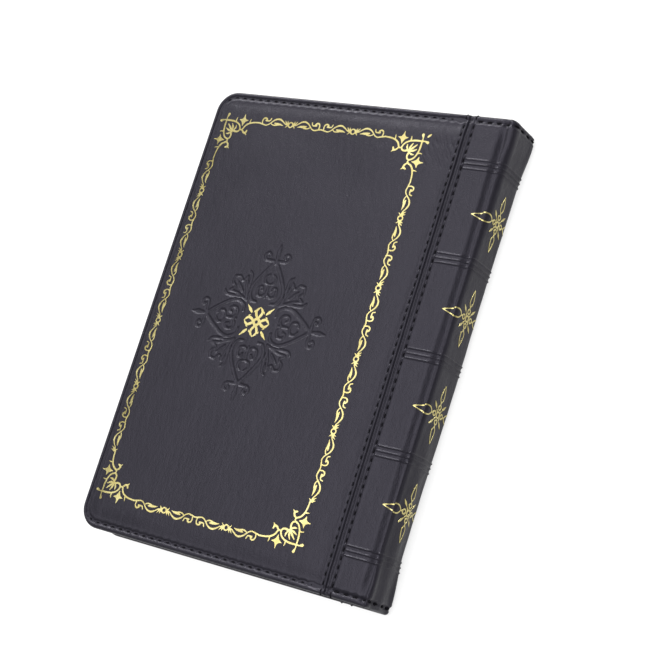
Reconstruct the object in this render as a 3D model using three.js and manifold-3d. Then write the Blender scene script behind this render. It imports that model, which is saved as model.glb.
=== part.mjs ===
// A closed prayer book in a padded, stitched leather case, lying on its back cover.
//
// Frame: millimetres, +Z out of the front cover, +Y towards the head, +X towards the spine. The origin is
// under the middle of the closed book. The case folds along two lines, one on each side of the spine, and
// the pages follow: half of them stay with each cover, and four loose leaves fan out between the halves.

import * as THREE from "three";
import { mergeVertices } from "three/addons/utils/BufferGeometryUtils.js";
import Module from "manifold-3d";

const wasm = await Module();
wasm.setup();

// ---------------------------------------------------------------- driving dimensions

const HEIGHT = 170; // head to tail
const WIDTH = 125; // fore edge to the face of the spine
const THICKNESS = 17; // closed
const CORNER_RADIUS = 8; // the two fore-edge corners of each cover
const PLAY = 0.1; // gap between pieces that rest on each other

// What a cover is made of, from its outer face inwards.
const LEATHER = 0.9;
const PADDING = 0.8;
const BOARD = 1.2;
const LINING = 0.4;

// Distances across a cover, from the fore edge.
const SEAM_FROM_FORE_EDGE = 108.7; // the seam that joins the panel to the spine leather
const FOLD_FROM_SPINE = 2; // the fold's axis, as far in from the spine's face as from the cover's
const STRIP_END_FROM_FOLD = 2.9; // the stiff part of a cover stops here, so that it clears the spine

const SHOULDER = 1.5; // radius of the spine's two long edges
const SPINE_CARD = 0.9;
const SPINE_CARD_FROM_FACE = 1.3; // room for the leather, which is pulled in along the middle of the spine
const SPINE_LINING_FROM_COVER = 3; // the lining stops short of the folds
const LIP = 2.6; // how far the spine leather reaches over each shoulder
const RIM = 4; // leather turned in round the board
const STITCH_INSET = 2.2; // the edge stitching, from the edge
const STITCH_FROM_SEAM = 2; // a row on each side of the seam
const THREAD_WIDTH = 0.7;
const THREAD_DEPTH = 0.6;
const SEAM_THREAD_WIDTH = 0.5;
const SEAM_THREAD_DEPTH = 0.4;

// Gold stamped into the covers and the spine.
const FOIL = 0.15;
const FOIL_RECESS = 0.3;
const BORDER_FROM_FORE_EDGE = 5.9;
const BORDER_TO_SPINE_SIDE = 93.8;
const BORDER_FROM_HEAD = 10.7;
const BORDER_FROM_TAIL = 12.3;
const BORDER_WIDTH = 2.6;
const CORNER_ORNAMENT = 13;
const ROSETTE_RADIUS = 8;
const ROSETTE_NOTCH = 4.2;
const FLEURON_COUNT = 4;
const FLEURON_SPACING = 33.8;
const FLEURON_HEIGHT = 19.4;
const FLEURON_WIDTH = 12.6;
const PANEL_CENTRE_FROM_HEAD = 86; // the middle of the spine's stamping

// The page block.
const SQUARE = 3.5; // how far the covers stand beyond the pages
const FLYLEAF = 0.25;
const LEAF = 0.2;
const LEAVES_PER_HALF = 2;
const SECTIONS_PER_HALF = 3;
const BACKING = 0.6; // glue and mull on the back of the block
const BAND_RADIUS = 1;

// ---------------------------------------------------------------- derived places

const FORE_EDGE = -WIDTH / 2;
const SPINE_FACE = WIDTH / 2;
const HEAD = HEIGHT / 2;
const SEAM = FORE_EDGE + SEAM_FROM_FORE_EDGE;
const FOLD = SPINE_FACE - FOLD_FROM_SPINE;
const STRIP_END = FOLD - STRIP_END_FROM_FOLD;

const PADDING_TOP = LEATHER + PLAY;
const BOARD_TOP = PADDING_TOP + PADDING + PLAY;
const LINING_TOP = BOARD_TOP + BOARD + PLAY;
const COVER = LINING_TOP + LINING;

const BORDER_LEFT = FORE_EDGE + BORDER_FROM_FORE_EDGE;
const BORDER_RIGHT = FORE_EDGE + BORDER_TO_SPINE_SIDE;
const BORDER_TOP = HEAD - BORDER_FROM_HEAD;
const BORDER_BOTTOM = BORDER_FROM_TAIL - HEAD;
const ROSETTE_X = (BORDER_LEFT + BORDER_RIGHT) / 2;
const ROSETTE_Y = (BORDER_TOP + BORDER_BOTTOM) / 2;

const SPINE_BOARD = [
  SPINE_FACE - SPINE_CARD_FROM_FACE - SPINE_CARD,
  SPINE_FACE - SPINE_CARD_FROM_FACE,
];
const SPINE_LINING = [SPINE_BOARD[0] - PLAY - LINING, SPINE_BOARD[0] - PLAY];
const BACKING_X = [SPINE_LINING[0] - PLAY - BACKING, SPINE_LINING[0] - PLAY];
const PAGE_SPINE_EDGE = BACKING_X[0] - PLAY;
const PAGE_FORE_EDGE = FORE_EDGE + SQUARE;
const PAGE_HEAD = HEAD - SQUARE;
const BLOCK = [COVER + PLAY, THICKNESS - COVER - PLAY];

// ---------------------------------------------------------------- materials

const finish = (color, roughness, metalness = 0) =>
  new THREE.MeshStandardMaterial({ color, roughness, metalness });

const leather = finish(0x29272d, 0.5);
const lining = finish(0x323036, 0.75);
const thread = finish(0x1c1b20, 0.7);
const gold = finish(0xe3cf86, 0.32, 1);
const wadding = finish(0xdcd8cc, 0.95);
const card = finish(0x9c9079, 0.9);
const paper = finish(0xefe8d6, 0.85);
const cloth = finish(0xd8cfb8, 0.9);

// ---------------------------------------------------------------- solids

const book = new THREE.Group();

function place(name, geometry, material) {
  const mesh = new THREE.Mesh(geometry, material);
  mesh.name = name;
  book.add(mesh);
}

// A closed geometry as a solid that can be cut and joined.
function solidOf(geometry) {
  const bare = geometry.clone();
  bare.deleteAttribute("normal");
  bare.deleteAttribute("uv");
  const merged = mergeVertices(bare, 1e-4);
  return new wasm.Manifold(
    new wasm.Mesh({
      numProp: 3,
      vertProperties: merged.attributes.position.array,
      triVerts: new Uint32Array(merged.index.array),
    }),
  );
}

function geometryOf(solid) {
  const mesh = solid.getMesh();
  const geometry = new THREE.BufferGeometry();
  geometry.setAttribute("position", new THREE.BufferAttribute(mesh.vertProperties, 3));
  geometry.setIndex(new THREE.BufferAttribute(mesh.triVerts, 1));
  geometry.computeVertexNormals();
  return geometry;
}

function block([x0, x1], [y0, y1], [z0, z1]) {
  const geometry = new THREE.BoxGeometry(x1 - x0, y1 - y0, z1 - z0);
  geometry.translate((x0 + x1) / 2, (y0 + y1) / 2, (z0 + z1) / 2);
  return geometry;
}

const both = (half) => [-half, half];

function rectangle([x0, x1], [y0, y1]) {
  return new THREE.Shape([
    new THREE.Vector2(x0, y0),
    new THREE.Vector2(x1, y0),
    new THREE.Vector2(x1, y1),
    new THREE.Vector2(x0, y1),
  ]);
}

// The line that runs round a cover's free edges at an inset, from the head round the fore edge to the tail.
function edgeLine(inset, xEnd) {
  const radius = CORNER_RADIUS - inset;
  const left = FORE_EDGE + inset + radius;
  const top = HEAD - inset - radius;
  const steps = 10;
  const line = [new THREE.Vector2(xEnd, HEAD - inset)];
  const corners = [
    [top, Math.PI / 2],
    [-top, Math.PI],
  ];
  for (const [centreY, from] of corners)
    for (let i = 0; i <= steps; i += 1) {
      const angle = from + ((Math.PI / 2) * i) / steps;
      line.push(new THREE.Vector2(left + radius * Math.cos(angle), centreY + radius * Math.sin(angle)));
    }
  line.push(new THREE.Vector2(xEnd, inset - HEAD));
  return line;
}

const coverOutline = (inset, xEnd) => new THREE.Shape(edgeLine(inset, xEnd));

// A band that follows a cover's free edges between two insets.
const edgeBand = (outer, inner, xEnd) =>
  new THREE.Shape([...edgeLine(outer, xEnd), ...edgeLine(inner, xEnd).reverse()]);

// A polygon whose corners alternate between two radii.
function star(centreX, centreY, points, radii) {
  const corners = [];
  for (let i = 0; i < points * radii.length; i += 1) {
    const angle = (2 * Math.PI * i) / (points * radii.length) + Math.PI / 4;
    const radius = radii[i % radii.length];
    corners.push(new THREE.Vector2(centreX + radius * Math.cos(angle), centreY + radius * Math.sin(angle)));
  }
  return new THREE.Shape(corners);
}

// A flat layer of a cover, between two depths under its outer face.
function layer(shape, [shallow, deep], isFront) {
  const geometry = new THREE.ExtrudeGeometry(shape, { depth: deep - shallow, bevelEnabled: false });
  geometry.translate(0, 0, isFront ? THICKNESS - deep : shallow);
  return geometry;
}

// ---------------------------------------------------------------- covers

const ABOVE = -1; // a depth outside the cover, for cuts that break through its face

function borderSolid(margin, depths, isFront) {
  const outer = BORDER_WIDTH / 2 + margin;
  const ring = rectangle(
    [BORDER_LEFT - outer, BORDER_RIGHT + outer],
    [BORDER_BOTTOM - outer, BORDER_TOP + outer],
  );
  ring.holes.push(
    rectangle(
      [BORDER_LEFT + outer, BORDER_RIGHT - outer],
      [BORDER_BOTTOM + outer, BORDER_TOP - outer],
    ),
  );
  let border = solidOf(layer(ring, depths, isFront));
  for (const [x, inX] of [[BORDER_LEFT, 1], [BORDER_RIGHT, -1]])
    for (const [y, inY] of [[BORDER_BOTTOM, 1], [BORDER_TOP, -1]]) {
      const xs = [x - inX * outer, x + inX * (CORNER_ORNAMENT + margin)].sort((a, b) => a - b);
      const ys = [y - inY * outer, y + inY * (CORNER_ORNAMENT + margin)].sort((a, b) => a - b);
      border = border.add(solidOf(layer(rectangle(xs, ys), depths, isFront)));
    }
  return border;
}

// The groove that the edge stitching lies in.
function edgeGroove(isFront) {
  const half = THREAD_WIDTH / 2 + PLAY;
  const band = edgeBand(STITCH_INSET - half, STITCH_INSET + half, STRIP_END + PLAY);
  return solidOf(layer(band, [ABOVE, THREAD_DEPTH + 2 * PLAY], isFront));
}

// The groove of one row of seam stitching, at an offset from the seam.
function seamGroove(offset, isFront) {
  const half = SEAM_THREAD_WIDTH / 2 + PLAY;
  const row = rectangle([SEAM + offset - half, SEAM + offset + half], both(HEAD - RIM));
  return solidOf(layer(row, [ABOVE, SEAM_THREAD_DEPTH + 2 * PLAY], isFront));
}

// The panel is a shallow tray: a flat face with a rim turned in round its three free edges.
function coverPanel(isFront) {
  const xEnd = SEAM - PLAY;
  const rosette = star(ROSETTE_X, ROSETTE_Y, 24, [ROSETTE_RADIUS + 2 * PLAY]);
  const face = solidOf(layer(coverOutline(0, xEnd), [0, LEATHER], isFront));
  const rim = solidOf(layer(edgeBand(0, RIM, xEnd), [0, LINING_TOP - PLAY], isFront));
  return face
    .add(rim)
    .subtract(edgeGroove(isFront))
    .subtract(seamGroove(-STITCH_FROM_SEAM, isFront))
    .subtract(borderSolid(PLAY, [ABOVE, FOIL_RECESS], isFront))
    .subtract(solidOf(layer(rosette, [ABOVE, FOIL_RECESS], isFront)));
}

// The strip of spine leather between the seam and the fold. It is turned in at the head and the tail.
function hingeStrip(isFront) {
  const xs = [SEAM + PLAY, STRIP_END];
  let strip = solidOf(layer(rectangle(xs, both(HEAD)), [0, LEATHER], isFront));
  for (const ys of [[HEAD - RIM, HEAD], [-HEAD, RIM - HEAD]])
    strip = strip.add(solidOf(layer(rectangle(xs, ys), [0, LINING_TOP - PLAY], isFront)));
  return strip.subtract(edgeGroove(isFront)).subtract(seamGroove(STITCH_FROM_SEAM, isFront));
}

function cover(side, isFront) {
  const inside = RIM + PLAY;
  const boardEnd = STRIP_END - PLAY;
  place(`${side}_leather_panel`, geometryOf(coverPanel(isFront)), leather);
  place(`${side}_hinge_leather`, geometryOf(hingeStrip(isFront)), leather);
  const stiff = coverOutline(inside, boardEnd);
  place(`${side}_padding`, layer(stiff, [PADDING_TOP, PADDING_TOP + PADDING], isFront), wadding);
  place(`${side}_board`, layer(stiff, [BOARD_TOP, BOARD_TOP + BOARD], isFront), card);
  place(`${side}_lining`, layer(coverOutline(LINING, STRIP_END), [LINING_TOP, COVER], isFront), lining);

  const edgeThread = edgeBand(
    STITCH_INSET - THREAD_WIDTH / 2,
    STITCH_INSET + THREAD_WIDTH / 2,
    STRIP_END,
  );
  place(`${side}_edge_thread`, layer(edgeThread, [PLAY, PLAY + THREAD_DEPTH], isFront), thread);
  for (const [row, offset] of [["panel", -STITCH_FROM_SEAM], ["strip", STITCH_FROM_SEAM]]) {
    const half = SEAM_THREAD_WIDTH / 2;
    const shape = rectangle([SEAM + offset - half, SEAM + offset + half], both(HEAD - RIM - PLAY));
    place(`${side}_seam_thread_${row}`, layer(shape, [PLAY, PLAY + SEAM_THREAD_DEPTH], isFront), thread);
  }

  const foilDepths = [PLAY, PLAY + FOIL];
  place(`${side}_border_foil`, geometryOf(borderSolid(0, foilDepths, isFront)), gold);
  const rosette = star(ROSETTE_X, ROSETTE_Y, 8, [ROSETTE_RADIUS, ROSETTE_NOTCH]);
  place(`${side}_rosette_foil`, layer(rosette, foilDepths, isFront), gold);
}

// ---------------------------------------------------------------- spine

// The section of the spine leather, in X and Z: a flat back with a rounded shoulder and a lip at each cover.
function spineSection() {
  const lipEnd = SPINE_FACE - LIP;
  const inner = SHOULDER - LEATHER;
  const centreX = SPINE_FACE - SHOULDER;
  const section = new THREE.Shape();
  section.moveTo(lipEnd, 0);
  section.lineTo(centreX, 0);
  section.absarc(centreX, SHOULDER, SHOULDER, -Math.PI / 2, 0, false);
  section.lineTo(SPINE_FACE, THICKNESS - SHOULDER);
  section.absarc(centreX, THICKNESS - SHOULDER, SHOULDER, 0, Math.PI / 2, false);
  section.lineTo(lipEnd, THICKNESS);
  section.lineTo(lipEnd, THICKNESS - LEATHER);
  section.lineTo(centreX, THICKNESS - LEATHER);
  section.absarc(centreX, THICKNESS - SHOULDER, inner, Math.PI / 2, 0, true);
  section.lineTo(centreX + inner, SHOULDER);
  section.absarc(centreX, SHOULDER, inner, 0, -Math.PI / 2, true);
  section.lineTo(lipEnd, LEATHER);
  return section;
}

// A section in X and Z carried along Y, centred.
function alongY(section, length) {
  const options = { depth: length, bevelEnabled: false, curveSegments: 8 };
  const geometry = new THREE.ExtrudeGeometry(section, options);
  geometry.rotateX(Math.PI / 2);
  geometry.translate(0, length / 2, 0);
  return geometry;
}

// A shape in Y and Z carried along X between two places.
function alongX(shape, [x0, x1]) {
  const options = { depth: x1 - x0, bevelEnabled: false, curveSegments: 6 };
  const geometry = new THREE.ExtrudeGeometry(shape, options);
  const turned = new THREE.Matrix4().makeBasis(
    new THREE.Vector3(0, 1, 0),
    new THREE.Vector3(0, 0, 1),
    new THREE.Vector3(1, 0, 0),
  );
  geometry.applyMatrix4(turned);
  geometry.translate(x0, 0, 0);
  return geometry;
}

// A four-pointed flower with hollow sides, long from head to tail.
function fleuronShape(centreY) {
  const centreZ = THICKNESS / 2;
  const waist = 0.16;
  const tall = FLEURON_HEIGHT / 2;
  const wide = FLEURON_WIDTH / 2;
  const tips = [[tall, 0], [0, wide], [-tall, 0], [0, -wide]];
  const shape = new THREE.Shape();
  shape.moveTo(centreY + tall, centreZ);
  tips.forEach(([y, z], i) => {
    const [nextY, nextZ] = tips[(i + 1) % tips.length];
    shape.quadraticCurveTo(
      centreY + waist * (y + nextY),
      centreZ + waist * (z + nextZ),
      centreY + nextY,
      centreZ + nextZ,
    );
  });
  return shape;
}

const fleuronCentres = Array.from(
  { length: FLEURON_COUNT },
  (_, i) => HEAD - PANEL_CENTRE_FROM_HEAD + FLEURON_SPACING * ((FLEURON_COUNT - 1) / 2 - i),
);

function spineLeather() {
  let body = solidOf(alongY(spineSection(), HEIGHT));
  for (const centre of fleuronCentres) {
    const recess = rectangle(
      [centre - FLEURON_HEIGHT / 2 - PLAY, centre + FLEURON_HEIGHT / 2 + PLAY],
      [THICKNESS / 2 - FLEURON_WIDTH / 2 - PLAY, THICKNESS / 2 + FLEURON_WIDTH / 2 + PLAY],
    );
    body = body.subtract(solidOf(alongX(recess, [SPINE_FACE - FOIL_RECESS, SPINE_FACE - ABOVE])));
  }
  for (const side of [-1, 1]) {
    const row = side * (HEAD - STITCH_INSET);
    const groove = THREAD_WIDTH / 2 + PLAY;
    const cut = block(
      [SPINE_FACE - THREAD_DEPTH - 2 * PLAY, SPINE_FACE - ABOVE],
      [row - groove, row + groove],
      [COVER / 2, THICKNESS - COVER / 2],
    );
    body = body.subtract(solidOf(cut));
  }
  return body;
}

function spine() {
  place("spine_leather", geometryOf(spineLeather()), leather);
  const boardZ = [SHOULDER + PLAY, THICKNESS - SHOULDER - PLAY];
  const liningZ = [SPINE_LINING_FROM_COVER, THICKNESS - SPINE_LINING_FROM_COVER];
  place("spine_board", block(SPINE_BOARD, both(HEAD - RIM), boardZ), card);
  place("spine_lining", block(SPINE_LINING, both(HEAD - LINING), liningZ), lining);
  for (const [end, side] of [["head", 1], ["tail", -1]]) {
    const row = side * (HEAD - STITCH_INSET);
    const stitching = block(
      [SPINE_FACE - PLAY - THREAD_DEPTH, SPINE_FACE - PLAY],
      [row - THREAD_WIDTH / 2, row + THREAD_WIDTH / 2],
      [COVER / 2 + PLAY, THICKNESS - COVER / 2 - PLAY],
    );
    place(`spine_${end}_thread`, stitching, thread);
  }
  fleuronCentres.forEach((centre, i) => {
    const foil = alongX(fleuronShape(centre), [SPINE_FACE - PLAY - FOIL, SPINE_FACE - PLAY]);
    place(`spine_fleuron_foil_${i + 1}`, foil, gold);
  });
}

// ---------------------------------------------------------------- pages

// The glued back of the block, with a band at the head and one at the tail.
function blockBack() {
  const bandY = PAGE_HEAD + PLAY + BAND_RADIUS;
  place("block_backing", block(BACKING_X, both(bandY + BAND_RADIUS), BLOCK), cloth);
  for (const [name, side] of [["head_band", 1], ["tail_band", -1]]) {
    const band = new THREE.CylinderGeometry(BAND_RADIUS, BAND_RADIUS, BLOCK[1] - BLOCK[0] - 2 * PLAY, 16);
    band.rotateX(Math.PI / 2);
    band.translate(BACKING_X[0] - PLAY - BAND_RADIUS, side * bandY, THICKNESS / 2);
    place(name, band, cloth);
  }
}

// The names of the page pieces from the front cover to the back cover, each with its thickness.
function pageStack() {
  const blockHeight = BLOCK[1] - BLOCK[0];
  const pieceCount = 2 * (1 + LEAVES_PER_HALF + SECTIONS_PER_HALF);
  const paperHeight = blockHeight - PLAY * (pieceCount - 1);
  const section = (paperHeight / 2 - FLYLEAF - LEAVES_PER_HALF * LEAF) / SECTIONS_PER_HALF;
  const numbered = (name, count, first, thickness) =>
    Array.from({ length: count }, (_, i) => [`${name}_${first + i}`, thickness]);
  return [
    ["front_flyleaf", FLYLEAF],
    ...numbered("section", SECTIONS_PER_HALF, 1, section),
    ...numbered("leaf", LEAVES_PER_HALF, 1, LEAF),
    ...numbered("leaf", LEAVES_PER_HALF, 1 + LEAVES_PER_HALF, LEAF),
    ...numbered("section", SECTIONS_PER_HALF, 1 + SECTIONS_PER_HALF, section),
    ["back_flyleaf", FLYLEAF],
  ];
}

function pages() {
  let top = BLOCK[1];
  for (const [name, thickness] of pageStack()) {
    const sheet = block([PAGE_FORE_EDGE, PAGE_SPINE_EDGE], both(PAGE_HEAD), [top - thickness, top]);
    place(name, sheet, paper);
    top -= thickness + PLAY;
  }
}

cover("front", true);
cover("back", false);
spine();
blockBack();
pages();

export default book;
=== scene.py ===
"""A closed prayer book in a padded black leather case with gold stamping.

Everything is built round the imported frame, in its axes: +Z out of the front cover, +Y towards the head,
+X towards the spine. Lengths are in millimetres until a mesh is made. The back cover is the front
cover mirrored through the middle of the book.
"""

import math

import bmesh
import bpy
import numpy as np
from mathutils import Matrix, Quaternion, Vector


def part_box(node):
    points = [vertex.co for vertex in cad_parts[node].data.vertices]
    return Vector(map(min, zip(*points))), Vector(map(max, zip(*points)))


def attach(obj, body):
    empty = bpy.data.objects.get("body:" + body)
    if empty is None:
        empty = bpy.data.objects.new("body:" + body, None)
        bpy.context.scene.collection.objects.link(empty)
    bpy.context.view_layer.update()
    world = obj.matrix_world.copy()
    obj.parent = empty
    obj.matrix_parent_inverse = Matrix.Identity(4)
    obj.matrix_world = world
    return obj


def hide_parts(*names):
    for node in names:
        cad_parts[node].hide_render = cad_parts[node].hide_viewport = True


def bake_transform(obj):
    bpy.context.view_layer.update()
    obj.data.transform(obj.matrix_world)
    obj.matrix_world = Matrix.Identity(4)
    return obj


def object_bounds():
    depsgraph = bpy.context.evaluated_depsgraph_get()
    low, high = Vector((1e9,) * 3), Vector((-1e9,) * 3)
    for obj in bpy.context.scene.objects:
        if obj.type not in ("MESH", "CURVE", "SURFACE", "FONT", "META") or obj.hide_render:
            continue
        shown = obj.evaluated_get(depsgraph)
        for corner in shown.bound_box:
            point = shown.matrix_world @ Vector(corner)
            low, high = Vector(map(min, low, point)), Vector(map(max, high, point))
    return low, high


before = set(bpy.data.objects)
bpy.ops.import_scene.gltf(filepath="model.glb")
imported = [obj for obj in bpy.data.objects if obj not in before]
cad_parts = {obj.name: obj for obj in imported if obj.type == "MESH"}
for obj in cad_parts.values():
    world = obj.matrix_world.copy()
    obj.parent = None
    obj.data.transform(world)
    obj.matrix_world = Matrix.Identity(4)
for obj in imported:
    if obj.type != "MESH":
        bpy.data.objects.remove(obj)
cad_low, cad_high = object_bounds()

MM = 0.001


# ---------------- places, from the frame


def box_mm(node):
    low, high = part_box(node)
    return np.array(low) / MM, np.array(high) / MM


def middle(node):
    low, high = box_mm(node)
    return (low + high) / 2


FORE, TAIL, BACK = np.array(cad_low) / MM
SPINE, HEAD, FRONT = np.array(cad_high) / MM
MID_Z = (FRONT + BACK) / 2
PLAY = 0.1  # gap between pieces that rest on each other
SIDES = ("front", "back")

panel_low, panel_high = box_mm("front_leather_panel")
SEAM = panel_high[0] + PLAY
TURN_IN = FRONT - panel_low[2]  # how deep the leather is turned in round the board
STRIP_END = box_mm("front_hinge_leather")[1][0]
RIM = HEAD - box_mm("front_board")[1][1] - PLAY  # width of the turned-in leather
LEATHER = 0.8
CORNER_RADIUS = 8
STEP = 0.6  # between the lines of a leather mesh, and closer where there is detail
SEAM_STEP = 0.2

THREAD_WIDTH = np.ptp([corner[1] for corner in box_mm("spine_head_thread")])
STITCH_INSET = HEAD - middle("spine_head_thread")[1]
SEAM_ROW = middle("front_seam_thread_strip")[0] - SEAM
SEAM_THREAD_WIDTH = 0.5
EDGE_PITCH = 3.6
SEAM_PITCH = 3.05
PITCH_PLACES = 6  # places along one stitch and the gap after it
STITCH_PLACES = 4  # those in the stitch itself

ROSETTE = middle("front_rosette_foil")[:2] + (-0.8, -1.2)  # stamped a little off the border's middle
BORDER_WIDTH = 2.6
border_low, border_high = box_mm("front_border_foil")
BORDER_LEFT, BORDER_BOTTOM = border_low[:2] + BORDER_WIDTH / 2
BORDER_RIGHT, BORDER_TOP = border_high[:2] - BORDER_WIDTH / 2
FLEURONS = [middle(f"spine_fleuron_foil_{i}")[1] for i in (1, 2, 3, 4)]
LINE_GROUPS = np.linspace(67, -69, 5)  # middles of the raised lines across the spine
LINE_PITCH = 1.7


# ---------------- small tools


def ramp(value, start, end):
    """0 before start, 1 after end, and smooth between."""
    t = np.clip((value - start) / (end - start), 0, 1)
    return t * t * (3 - 2 * t)


def hump(value, centre, width):
    return np.exp(-(((value - centre) / width) ** 2))


def waves(x, y, seed, longest=60, shortest=16, count=9):
    """A smooth random undulation, mostly between -1 and 1."""
    random = np.random.default_rng(seed)
    total = 0
    for _ in range(count):
        angle, phase = random.uniform(0, 2 * math.pi, 2)
        turns = (x * math.cos(angle) + y * math.sin(angle)) / random.uniform(shortest, longest)
        total = total + np.sin(2 * math.pi * turns + phase)
    return total / math.sqrt(count)


def nearest(x, y, spots):
    """Distance from each point to the nearest of some spots."""
    best = np.full(np.shape(x), np.inf)
    for spot_x, spot_y in spots:
        best = np.minimum(best, np.hypot(x - spot_x, y - spot_y))
    return best


def fine_steps(start, end, coarse, fine_spans=(), fine=None):
    """Places from start to end, closer together inside the fine spans."""
    places = [start]
    direction = 1 if end > start else -1
    while (end - places[-1]) * direction > coarse * 0.6:
        here = places[-1]
        close = any(low <= here <= high for low, high in fine_spans)
        places.append(here + direction * (fine if close else coarse))
    places[-1] = end
    return np.array(places)


def new_object(name, data):
    thing = bpy.data.objects.new(name, data)
    bpy.context.scene.collection.objects.link(thing)
    return thing


def mesh_object(name, points, faces, material, sharp_angle=40):
    """A closed mesh from points in millimetres, with its faces turned outwards."""
    mesh = bpy.data.meshes.new(name)
    mesh.from_pydata((np.asarray(points) * MM).tolist(), [], faces)
    work = bmesh.new()
    work.from_mesh(mesh)
    bmesh.ops.recalc_face_normals(work, faces=work.faces)
    work.to_mesh(mesh)
    work.free()
    mesh.shade_smooth()
    mesh.set_sharp_from_angle(angle=math.radians(sharp_angle))
    mesh.materials.append(material)
    return new_object(name, mesh)


def tidy_face(corners):
    """A face without the corners that repeat, or None if too few are left."""
    kept = [c for c, before in zip(corners, [corners[-1], *corners[:-1]]) if c != before]
    return kept if len(set(kept)) > 2 else None


def strip_faces(first, second, closed=False):
    """Faces between two rows of point numbers of the same length."""
    pairs = list(zip(first.tolist(), second.tolist()))
    if closed:
        pairs.append(pairs[0])
    quads = (tidy_face([a, c, d, b]) for (a, b), (c, d) in zip(pairs, pairs[1:]))
    return [q for q in quads if q]


def on_side(side, points):
    """Points of the front cover as they are, or the same points on the back cover."""
    placed = np.array(points, float)
    if side == "back":
        placed[..., 2] = FRONT + BACK - placed[..., 2]
    return placed


class Nodes:
    """Short calls for building a material's node tree."""

    def __init__(self, name):
        self.material = bpy.data.materials.new(name)
        self.material.use_nodes = True
        self.tree = self.material.node_tree
        self.shader = self.tree.nodes["Principled BSDF"]
        self.object = self.add("ShaderNodeTexCoord").outputs["Object"]

    def add(self, kind, props=None, **inputs):
        node = self.tree.nodes.new(kind)
        for key, value in (props or {}).items():
            setattr(node, key, value)
        for key, value in inputs.items():
            self.put(node.inputs[key.replace("_", " ")], value)
        return node

    def put(self, socket, value):
        if isinstance(value, bpy.types.NodeSocket):
            self.tree.links.new(value, socket)
        else:
            socket.default_value = value

    def set(self, **inputs):
        """Values or links on the surface shader's own sockets."""
        for key, value in inputs.items():
            self.put(self.shader.inputs[key.replace("_", " ")], value)

    def coordinates(self, scale=(1, 1, 1), turn=(0, 0, 0)):
        """Object coordinates in millimetres, scaled and turned by degrees."""
        node = self.add("ShaderNodeMapping", Vector=self.object)
        node.inputs["Scale"].default_value = [s / MM for s in scale]
        node.inputs["Rotation"].default_value = [math.radians(t) for t in turn]
        return node.outputs["Vector"]

    def noise(self, scale, detail=3, roughness=0.55, vector=None):
        values = {"Scale": scale, "Detail": detail, "Roughness": roughness}
        values["Vector"] = self.coordinates() if vector is None else vector
        return self.add("ShaderNodeTexNoise", **values).outputs["Fac"]

    def cells(self, scale):
        node = self.add("ShaderNodeTexVoronoi", Vector=self.coordinates(), Scale=scale)
        return node.outputs["Distance"]

    def wave(self, direction, scale):
        """Bands across an axis, about 3.2 of them to the millimetre at a scale of 1."""
        props = {"bands_direction": direction}
        node = self.add("ShaderNodeTexWave", props, Vector=self.coordinates(), Scale=scale)
        return node.outputs["Fac"]

    def remap(self, value, low, high, to_low=0, to_high=1):
        ends = {"From_Min": low, "From_Max": high, "To_Min": to_low, "To_Max": to_high}
        return self.add("ShaderNodeMapRange", Value=value, **ends).outputs["Result"]

    def spread(self, noise, to_low=0, to_high=1):
        """A noise, which keeps mostly to its middle values, spread over a whole range."""
        return self.remap(noise, 0.3, 0.7, to_low, to_high)

    def mix(self, fac, first, second):
        """A colour between two others."""
        node = self.add("ShaderNodeMix", {"data_type": "RGBA"})
        for index, value in ((0, fac), (6, (*first, 1)), (7, (*second, 1))):
            self.put(node.inputs[index], value)
        return node.outputs[2]

    def sum(self, first, second, scale=1.0):
        node = self.add("ShaderNodeMath", {"operation": "MULTIPLY_ADD"})
        for index, value in ((0, second), (1, scale), (2, first)):
            self.put(node.inputs[index], value)
        return node.outputs[0]

    def bump(self, height, distance, strength=1.0, normal=None):
        node = self.add("ShaderNodeBump", Height=height, Distance=distance * MM, Strength=strength)
        if normal is not None:
            self.put(node.inputs["Normal"], normal)
        return node.outputs["Normal"]


# ---------------- camera, floor and light

CAMERA_PLACE = Vector((340.1, -102.3, 493.1)) * MM
CAMERA_AIM = Vector((13.4, 3.8, 17.0)) * MM
CAMERA_ROLL = -57.637
CAMERA_LENS = 95.41


def direction_at(azimuth, elevation):
    """Unit vector from the book towards an azimuth, counted from -Y towards +X, and an elevation."""
    a, e = math.radians(azimuth), math.radians(elevation)
    return Vector((math.sin(a) * math.cos(e), -math.cos(a) * math.cos(e), math.sin(e)))


def make_camera():
    data = bpy.data.cameras.new("camera")
    data.lens = CAMERA_LENS
    data.sensor_width = 36
    data.clip_start = 0.01
    camera = new_object("camera", data)
    camera.location = CAMERA_PLACE
    camera.rotation_mode = "QUATERNION"
    roll = Quaternion((0, 0, 1), math.radians(CAMERA_ROLL))
    camera.rotation_quaternion = (CAMERA_AIM - CAMERA_PLACE).to_track_quat("-Z", "Y") @ roll
    bpy.context.scene.camera = camera


def make_light(name, azimuth, elevation, distance, size, power, shadow=True):
    data = bpy.data.lights.new(name, "AREA")
    data.use_shadow = shadow
    data.shape = "DISK"
    data.size = size
    data.energy = power
    light = new_object(name, data)
    towards = direction_at(azimuth, elevation)
    light.location = towards * distance
    light.rotation_mode = "QUATERNION"
    light.rotation_quaternion = towards.to_track_quat("Z", "Y")


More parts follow.
